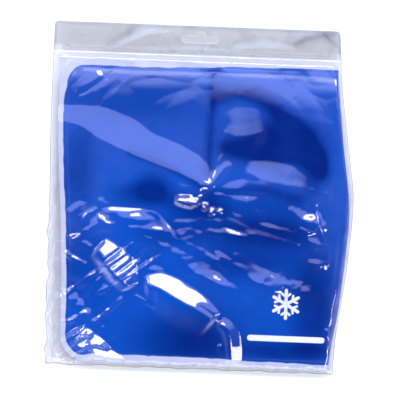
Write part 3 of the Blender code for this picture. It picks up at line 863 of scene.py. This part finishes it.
def film_relief(x, y):
    """Folds of the film over the wrap. Slopes near 0.1 mirror the dim panel, and from 0.26 the bright lamp."""
    r = Relief(x, y)
    # Broad folds over the upper half
    r.facet([(-152, 66), (-120, 67.5), (-97, 65), (-66, 53), (-50, 44), (-34, 38), (-13, 30), (3, 20), (15, 8)],
            [12, 13, 16, 26, 28, 23, 23, 20, 12], 0.115, 45, 0.06)
    r.facet([(12, 98), (44, 96), (80, 86), (114, 74)], [8, 24, 28, 20], 0.016, 30)
    r.facet([(-96, 101), (-50, 107), (0, 106)], [4, 8, 9], 0.03, 12)
    r.facet([(-114, 84), (-102, 96), (-88, 106)], 8, 0.05, 8)
    r.crease([(-108, 82), (-92, 93), (-76, 106)], 1.6, -0.9)
    r.facet([(12, 64), (34, 66), (58, 68)], [12, 26, 24, 14], 0.066, 18, 0.3)
    r.facet([(36, 30), (54, 25), (74, 22), (96, 13)], [6, 18, 18, 6], 0.075, 18, 0.15)
    r.crease([(12, 112), (7, 96), (8, 60), (6, 40), (8, 8)], 3.2, -0.75, 0.08)
    r.crease([(22, 70), (14, 44), (8, 12)], 2.4, -0.5)
    # Folds that meet at the pinch
    r.facet([(4, 8), (14, 22), (25, 33)], [4, 6, 4], 0.13, 6, 0.2)
    r.facet([(-22, 12), (-8, 8), (2, 9)], [3, 5, 3], 0.11, 5, 0.2)
    r.crease([(2, 8), (-14, 2), (-34, 4)], 1.5, -0.8)
    r.facet([(10, 4), (30, 12), (50, 13), (76, 6)], [5, 8, 6, 3], 0.10, 9, 0.15)
    r.facet([(14, -2), (46, 2), (78, -6), (96, -14)], [3, 5, 6, 5], 0.075, 10, 0.2)
    r.crease([(8, 7), (30, 4), (66, 4)], 1.8, -0.7)
    r.crease([(8, 7), (12, 30), (20, 46)], 1.6, -0.6)
    # Bright patch left of the pinch
    r.facet([(-20, 1), (-12, -1), (-3, -4)], [8, 10, 8], 0.34, 4, 0.1)
    for x0, y0, size in ((-2, -3, 7), (5, -7, 6), (11, -11, 6), (18, -10, 4)):
        r.facet([(x0 - 2, y0 + 0.5), (x0, y0), (x0 + 2, y0 - 0.8)], size, 0.33, 2.5, 0.2)
    # Long folds over the lower half
    r.facet([(-86, -12), (-72, -13), (-50, -17), (-34, -23)], [5, 8, 8, 4], 0.065, 9)
    r.facet([(-62, -26), (-45, -27), (-28, -28)], [3, 5, 3], 0.10, 6)
    r.facet([(-58, -34), (-44, -34), (-26, -32)], [3, 5, 3], 0.10, 6)
    r.crease([(-90, -11), (-42, -11), (-28, -20), (-14, -40)], 1.3, -0.8)
    r.facet([(-30, -24), (-16, -20), (24, -18), (48, -27), (78, -34), (108, -41)], [3, 5, 5, 6, 5, 3], 0.07, 6)
    r.facet([(-6, -30), (12, -28), (30, -27), (52, -30)], [3, 5, 5, 3], 0.09, 6)
    r.facet([(-36, -58), (-15, -47), (1, -58), (15, -63), (34, -72), (54, -84)],
            [4, 9, 12, 14, 15, 8], 0.085, 13)
    r.facet([(16, -38), (40, -48), (62, -62), (78, -78)], [12, 24, 24, 12], 0.095, 16)
    r.facet([(-40, -38), (-10, -36), (10, -42)], [5, 10, 7], 0.09, 12)
    r.facet([(84, -44), (98, -50), (112, -50)], [5, 8, 5], 0.10, 8)
    r.facet([(80, -12), (96, -14), (112, -20)], [4, 7, 4], 0.10, 8)
    r.crease([(14, -40), (22, -58), (46, -70)], 1.2, 0.5)
    # Bright band across the lower half
    r.facet([(-46, -72), (-32, -71), (-21, -75), (-8, -82), (7, -91), (21, -102)],
            [7, 13, 16, 16, 12, 9], 0.278, 26, 0.07)
    r.crease([(0, -90), (14, -99), (28, -108)], 1.2, -0.5)
    r.facet([(22, -102), (30, -108), (35, -118), (37, -140)], [7, 9, 10, 9], 0.26, 8, 0.06)
    r.facet([(23, -123), (26, -132), (25, -141)], 3.5, 0.26, 5)
    r.facet([(113, -105), (118, -122), (120, -141)], 3.5, 0.26, 5)
    # Bright wedge cut by diagonal creases
    r.facet([(-82, -41), (-71, -51), (-60, -64), (-52, -78)], [10, 18, 18, 8], 0.27, 12, 0.06)
    for shift in (0, 5, 10, 15):
        r.crease([(x0 + shift, y0 - shift) for x0, y0 in ((-92, -68), (-70, -50), (-48, -32))], 1.0, -1.1)
    # Narrow bright folds over the lower left, and a few at the right
    for points, width in (([(-118, -92), (-96, -72), (-70, -55), (-50, -42)], 2.0),
                          ([(-88, -86), (-60, -68), (-26, -46)], 2.2),
                          ([(-88, -110), (-74, -97), (-62, -86)], 2.6),
                          ([(-122, -46), (-106, -54), (-92, -60)], 2.0),
                          ([(-104, -82), (-90, -70), (-76, -60)], 1.6),
                          ([(-122, -108), (-108, -108), (-93, -99)], 2.8),
                          ([(-118, -130), (-104, -120), (-92, -110)], 2.4),
                          ([(-100, -24), (-95, -16), (-86, -12)], 1.8)):
        r.facet(points, [width * 0.6, width, width * 0.7], 0.36, 4, 0.1)
    for points, height in (([(-88, -16), (-80, -24), (-74, -26)], 0.9),
                           ([(-54, -84), (-40, -92), (-34, -94)], 0.8),
                           ([(96, 0), (102, -16), (108, -36)], 0.9),
                           ([(84, -22), (96, -26), (104, -14)], 0.8)):
        r.crease(points, 1.3, height)
    # Crumpled corner at the lower left
    for points, widths in (([(-119, -138), (-106, -124), (-94, -117), (-84, -120)], [4, 10, 10, 4]),
                           ([(-112, -141), (-97, -128), (-84, -124), (-70, -131)], [3, 9.5, 9.5, 3]),
                           ([(-102, -143), (-86, -134), (-72, -135), (-57, -141)], [3, 8, 8, 3])):
        r.facet(points, widths, 0.38, 2.5, 0.08)
    calm = Relief(x, y)
    for points, reach in (([(-80, -42), (-66, -56), (-52, -78)], 13),
                          ([(-44, -71), (-21, -74), (0, -86), (20, -100)], 13),
                          ([(26, -104), (36, -122), (36, -140)], 7),
                          ([(-116, -134), (-98, -122), (-64, -138)], 13),
                          ([(8, 2), (24, -17), (48, -26), (80, -34)], 9)):
        calm.along(points, reach, lambda d, share: ramp(reach, reach * 0.6, np.abs(d)))
    rough = 1 - 0.85 * np.clip(calm.z, 0, 1)
    left = ramp(-40, -80, x) * ramp(0, -30, y)
    middle = ramp(6, -12, y) * ramp(-100, -70, y) * ramp(112, 90, x)
    lifted = ramp(35, -30, y) * ramp(-120, -80, y) * ramp(125, 90, x)
    z = r.z + 0.9 * lifted
    z += rough * left * (crumple(x, y, 11, 9.0, 0.45, 42, 2.2) + crumple(x, y, 12, 5.0, 0.20, 35, 1.6))
    z += rough * middle * (crumple(x, y, 21, 13.0, 0.95, -14, 2.6) + crumple(x, y, 22, 6.0, 0.16, 20, 1.5))
    z += crumple(x, y, 31, 34.0, 0.30, 10, 1.3)
    right = ramp(80, 96, x) * ramp(-70, -50, y) * ramp(30, 5, y)
    gain = rough * np.clip(0.10 + 0.50 * left + 0.22 * middle + 0.30 * right, 0, 0.8)
    return z + gain * sample(PUCKERS, x, y)


def over_wrap(x, y):
    """Lowest height the film may have over the wrap, 0 where the wrap isn't."""
    over = np.minimum(x, FOLD_X)
    reach = fold_reach(y)
    along = np.clip((x - FOLD_X) / reach, 0, 1) ** (2 / FOLD_SQUARE)
    round_off = (1 - along) ** (FOLD_SQUARE / 2)
    top = FOLD_MID_Z + (front_top(over, y) - FOLD_MID_Z) * round_off
    covered = (x < FOLD_X + reach) & (y < TOP_Y) & (y > LOW_Y) & (inside_rim(over, y) > 0)
    return np.where(covered, top, 0.0)


def build_bag_front():
    """The clear film that lies over the wrap, from the bottom weld to the mouth."""
    columns = spaced(0.0, 1.0, 250, 0.75, 0.75)[None, :]
    rows = spaced(0.0, 1.0, 270, 0.7, 0.8)[:, None]
    y = mix(DOME_LOW[1], DOME_HIGH[1] - MOUTH_GAP, rows) + 0 * columns
    x = mix(bag_left(y), bag_right(y), columns)
    y = y + (bag_bottom(x) - BAG_LOW[1]) * (1 - rows)
    border = np.minimum(np.minimum(x - bag_left(y), bag_right(y) - x), y - bag_bottom(x)) - 1.0
    rise = rounded(border / SIDE_SHOULDER) * rounded((DOME_HIGH[1] - MOUTH_GAP - y) / MOUTH_SHOULDER)
    base = DOME_LOW[2] + (LIP_LOW[2] - DOME_LOW[2]) * ramp(MOUTH_RAMP_Y, DOME_HIGH[1], y)
    over = np.minimum(x, FOLD_X)
    crown = ramp(-8, 40, inside_rim(over, y))
    cover = mix(FRONT_RIM_Z + 2.2, FRONT_TOP_Z + 0.5, crown)
    relief = film_relief(x, y)
    z = base + (cover - base + relief) * rise
    margin = ramp(9, 2, border) * ramp(30, -10, y)
    z = z + margin * ramp(0, 2, border) * (crumple(x, y, 41, 5.0, 1.1, 80, 2.0))
    z = np.maximum(z, over_wrap(x, y) + FILM_CLEAR)
    film = grid_object("bag_front", x, y, np.maximum(z, base), CLEAR)
    weld = ramp(1.6, 0.8, border + 1.0)
    # A darker weld band along the edge, and crumpled streaks over the lower margin, darkened as painted shade
    # of its creases
    crease_shade_streaks = np.abs(crumple(x, y, 51, 4.0, 1.0, 75, 3.0)) * ramp(10, 6, border)
    add_values(film, "seam_and_crease_shade", np.clip(0.5 * weld + 0.8 * crease_shade_streaks * ramp(40, 0, y), 0, 1))
    stands_for(film, "bag_front_film", "bag")
    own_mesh(film)


def bag_outline(low_y, high_y, inset=0.0, corner=3.0):
    """Outline of the bag, or of the stretch of it between two heights, with round upper corners."""
    ys = np.arange(low_y, high_y - corner, 3.0)
    right = list(zip(bag_right(ys) - inset, ys))
    left = list(zip(bag_left(ys) + inset, ys))
    top_right = np.array([bag_right(high_y) - inset - corner, high_y - corner])
    top_left = np.array([bag_left(high_y) + inset + corner, high_y - corner])
    arc = [np.array([math.sin(a), math.cos(a)]) * corner for a in np.linspace(0, math.pi / 2, 5)]
    round_right = [tuple(top_right + a) for a in arc[::-1]]
    round_left = [tuple(top_left + a * (-1, 1)) for a in arc]
    bottom = []
    if low_y <= BAG_LOW[1]:
        xs = np.arange(left[0][0] + 3, right[0][0] - 2, 3.0)
        bottom = list(zip(xs, bag_bottom(xs)))
    return [*bottom, *right, *round_right, *round_left, *left[::-1]]


def slot_outline():
    """Hang-slot outline: a long slot with round ends and a round bump over its middle."""
    radius, bump = SLOT_HALF_HEIGHT, SLOT_BUMP_RADIUS
    end_x = SLOT_HALF_LENGTH - radius
    rise = radius - SLOT_BUMP_RISE
    meet = math.atan2(rise, math.sqrt(bump ** 2 - rise ** 2))
    centres = ((end_x, 0.0, radius, -math.pi / 2, math.pi / 2),
               (0.0, SLOT_BUMP_RISE, bump, meet, math.pi - meet),
               (-end_x, 0.0, radius, math.pi / 2, math.pi * 1.5))
    return [tuple((SLOT_X + cx, SLOT_Y + cy) + r * way(mix(a, b, k / 9)))
            for cx, cy, r, a, b in centres for k in range(10)]


def header_waves(x, y):
    """Slow bends and a few folds in the header's films, in millimetres."""
    r = Relief(x, y)
    r.facet([(-80, 126), (-66, 134), (-50, 141), (-30, 143)], [3, 5, 5, 2], 0.055, 6)
    r.facet([(20, 130), (52, 134), (84, 131)], [3, 7, 3], 0.045, 8)
    r.facet([(-40, 128.5), (-10, 129), (20, 128.5)], [2, 2.5, 2], 0.05, 3)
    return r.z + 0.06 * np.sin(x / 19 + 0.5) * np.sin(y / 8)


def build_header():
    """The films and strips round the zip and the hang slot."""
    slot = slot_outline()
    top = BAG_HIGH[1]

    def flat_film(x, y):
        edge = ramp(0, 12, np.minimum(x - bag_left(y), bag_right(y) - x))
        return 0.18 + 0.12 * np.sin(x / 23) * np.sin(y / 29 + 1) * edge

    strip = bag_outline(STRIP_LOW[1], STRIP_HIGH[1], STRIP_INSET)
    back_z, front_z, lip_z = [(low[2] + high[2]) / 2 for low, high in (
        (BACK_STRIP_LOW, BACK_STRIP_HIGH), (STRIP_LOW, STRIP_HIGH), (LIP_LOW, LIP_HIGH))]

    back = sheet_object("bag_back", bag_outline(BAG_LOW[1], top), slot, 3.0, flat_film, CLEAR)
    stands_for(back, "bag_back_film", "bag")
    back_strip = sheet_object("back_strip", strip, slot, 2.0, lambda x, y: back_z + 0 * x, HEADER)
    stands_for(back_strip, "back_header_strip", "bag")
    front_strip = sheet_object("front_strip", strip, slot, 2.0,
                               lambda x, y: front_z + 0.2 * header_waves(x, y), HEADER)
    stands_for(front_strip, "front_header_strip", "mouth_lip")
    lip = sheet_object("front_lip", bag_outline(LIP_LOW[1] + MOUTH_GAP, top), slot, 1.5,
                       lambda x, y: lip_z + 0.25 + header_waves(x, y), CLEAR)
    stands_for(lip, "front_lip_film", "mouth_lip")
    for piece in (back, back_strip, front_strip, lip):
        x, y, _ = points_of(piece).T
        edge = np.minimum(np.minimum(x - bag_left(y), bag_right(y) - x), np.minimum(y - BAG_LOW[1], top - y))
        # Darker along the edges, and along three folds as painted shade
        folds = Relief(x, y)
        folds.crease([(118, 147), (96, 143), (82, 138), (72, 131)], 2.2, 0.5)
        folds.crease([(100, 148), (108, 140), (116, 134)], 1.6, 0.4)
        folds.crease([(-88, 128), (-72, 138), (-58, 146)], 1.6, 0.25)
        add_values(piece, "seam_and_crease_shade", np.clip(0.6 * ramp(1.6, 0.6, edge) + folds.z, 0, 1))


def build_zip_track(name, node, body, profile):
    """One extruded track of the zip, along a profile of (y, z) points."""
    low, high = corners(node)
    run = np.array(smooth_profile(profile))
    x, _ = np.meshgrid(np.linspace(low[0], high[0], 90), run[:, 0])
    y = run[:, :1] + 0.12 * np.sin(x / 33)
    track = grid_object(name, x, y, run[:, 1:] + 0 * x, HEADER)
    # Darker where the profile is steep: painted shade on the track's walls
    add_values(track, "seam_and_crease_shade", 0.5 * ramp(0.2, 0.8, np.abs(np.gradient(run[:, 1]))[:, None] + 0 * x))
    stands_for(track, node, body)


def smooth_profile(points, step=0.25):
    """Points every step along a polyline."""
    out = [points[0]]
    for a, b in zip(points, points[1:]):
        count = max(1, round(math.dist(a, b) / step))
        out += [(mix(a[0], b[0], k / count), mix(a[1], b[1], k / count)) for k in range(1, count + 1)]
    return out


def build_zip():
    """The groove on the back lip and the ridge on the front one that presses into it."""
    low, high = corners("zip_groove_track")
    ridge_low, ridge_high = corners("zip_ridge_track")
    middle = (low[1] + high[1]) / 2
    floor_z, lip_z = low[2] + 0.1, high[2] - 0.15
    build_zip_track("zip_groove", "zip_groove_track", "bag", [
        (low[1], floor_z), (middle - 1.6, floor_z), (middle - 1.3, lip_z), (middle - 0.9, floor_z),
        (middle + 0.9, floor_z), (middle + 1.3, lip_z), (middle + 1.6, floor_z), (high[1], floor_z)])
    roof_z = ridge_high[2] - 0.1
    build_zip_track("zip_ridge", "zip_ridge_track", "mouth_lip", [
        (ridge_low[1], roof_z), (middle - 0.5, roof_z), (middle, ridge_low[2] + 0.1),
        (middle + 0.5, roof_z), (ridge_high[1], roof_z)])


def dress_cad_nodes():
    """A better material for the CAD nodes that stay: the slot's tabs."""
    for node in ("back_hang_tab", "front_hang_tab"):
        obj = bpy.data.objects[node]
        obj.data.materials.clear()
        obj.data.materials.append(TAB)


# ---- Stage ----

CAMERA_HEIGHT = 1.2
VIEW_WIDTH = 0.3465            # width of the view on the table
SENSOR_WIDTH = 36.0
CAMERA_TURN = 2.2              # degrees that the object is turned by in the view
VIEW_CENTRE = (0.0005, -0.002)
FLOOR_HALF = 4000.0            # millimetres
FLOOR_DROP = 0.3               # how far the floor is below the bag


def add_camera():
    camera = bpy.data.cameras.new("camera")
    camera.sensor_width = SENSOR_WIDTH
    camera.lens = SENSOR_WIDTH * CAMERA_HEIGHT / VIEW_WIDTH
    camera.clip_end = 20.0
    holder = linked("camera", camera)
    holder.location = (*VIEW_CENTRE, CAMERA_HEIGHT)
    holder.rotation_euler = (0.0, 0.0, math.radians(CAMERA_TURN))
    bpy.context.scene.camera = holder


def add_panel(name, place, size, radiance):
    """A rectangular softbox aimed at the object, whose power gives the wanted radiance."""
    light = bpy.data.lights.new(name, "AREA")
    light.shape = "RECTANGLE"
    light.size, light.size_y = size
    light.energy = radiance * math.pi * size[0] * size[1]
    holder = linked(name, light)
    holder.location = place
    holder.rotation_euler = (-Vector(place)).to_track_quat("-Z", "Y").to_euler()


def add_floor():
    n = Nodes("floor")
    n.surface(n.blend(n.noise(0.01), (0.90, 0.90, 0.90), (0.93, 0.93, 0.93)), 0.02, (0.85, 0.95))
    n.shader.inputs["Specular IOR Level"].default_value = 0.1
    x, y = np.meshgrid(*[np.linspace(-FLOOR_HALF, FLOOR_HALF, 3)] * 2)
    floor = grid_object("floor", x, y, 0 * x, n.material)
    floor.location.z = -FLOOR_DROP * MM


def add_world():
    """A studio that is dark right overhead, brighter towards the horizon, with a large dim panel towards +Y."""
    world = bpy.data.worlds.new("studio")
    world.use_nodes = True
    t = Tree(world.node_tree)
    split = t.add("ShaderNodeSeparateXYZ")
    t.link(t.add("ShaderNodeTexCoord").outputs["Generated"], split.inputs[0])
    x, y, z = split.outputs
    # Where each direction meets a ceiling one unit up
    up = t.math("MAXIMUM", z, 0.05)
    u, v = t.math("DIVIDE", x, up), t.math("DIVIDE", y, up)
    radius = t.math("SQRT", t.plus(t.times(u, u), t.times(v, v)))
    # Pale all round, most in front and least at the right
    horizon = t.times(t.spread(radius, 0.7, 3.0, 0.0, 1.3), t.spread(x, -0.1, 0.5, 1.0, 0.2))
    front = t.times(t.spread(radius, 0.8, 2.5, 0.0, 1.8), t.spread(y, 0.0, -0.5))
    sky = t.plus(t.spread(radius, 0.30, 1.2, 0.006, 0.35), t.plus(horizon, front))
    # The bluish panel towards +Y, with soft edges, and a faint glow towards +X
    panel = t.times(t.spread(v, 0.09, 0.22), t.spread(v, 1.3, 0.8))
    panel = t.times(panel, t.times(t.spread(u, -0.7, -0.4), t.spread(u, 1.0, 0.6)))
    side = t.times(t.times(t.spread(u, 0.1, 0.3), t.spread(v, 0.25, 0.1)), 0.08)
    total = t.plus(t.plus(sky, t.times(panel, 1.5)), side)
    background = t.tree.nodes["Background"]
    t.link(total, background.inputs["Strength"])
    t.link(t.blend(panel, (0.97, 0.98, 1.0), (0.96, 1.10, 1.95)), background.inputs["Color"])
    bpy.context.scene.world = world


add_camera()
add_floor()
add_world()
# The bright lamp past the header, a smaller one at its left and a strip at the lower right
add_panel("top_softbox", (0.30, 1.42, 3.0), (2.2, 0.62), 15.0)
add_panel("left_softbox", (-1.75, 1.30, 3.0), (0.7, 0.6), 11.0)
add_panel("right_strip", (1.55, -0.75, 3.0), (0.45, 1.1), 12.0)
bpy.context.scene.view_settings.view_transform = "Standard"

PUCKERS = cloth_puckers()
if PUCKERS is not None:
    PUCKERS = finer_part(PUCKERS)
build_outer_skin()
build_inner_skin("front_inner_skin", "front_inner_film", "wrap_front", FRONT_RIM_Z - RIM_GAP,
                 FRONT_INNER_LOW[2])
build_inner_skin("rear_inner_skin", "rear_inner_film", "wrap_rear", REAR_RIM_Z + RIM_GAP,
                 REAR_INNER_HIGH[2])
build_gel("front_gel", "front_gel_fill", "wrap_front", FRONT_TOP_Z - 2.0, FRONT_INNER_LOW[2] + 0.7)
build_gel("rear_gel", "rear_gel_fill", "wrap_rear", REAR_INNER_HIGH[2] - 0.7, REAR_BASE_Z + 0.7)
build_mark()
build_strap()
build_patch("loop_pad", "loop_patch", "wrap_rear", LOOP, LOOP_LOW, LOOP_HIGH)
build_patch("hook_pad", "hook_patch", "strap_end", HOOK, HOOK_LOW, HOOK_HIGH)
build_bag_front()
build_header()
build_zip()
dress_cad_nodes()
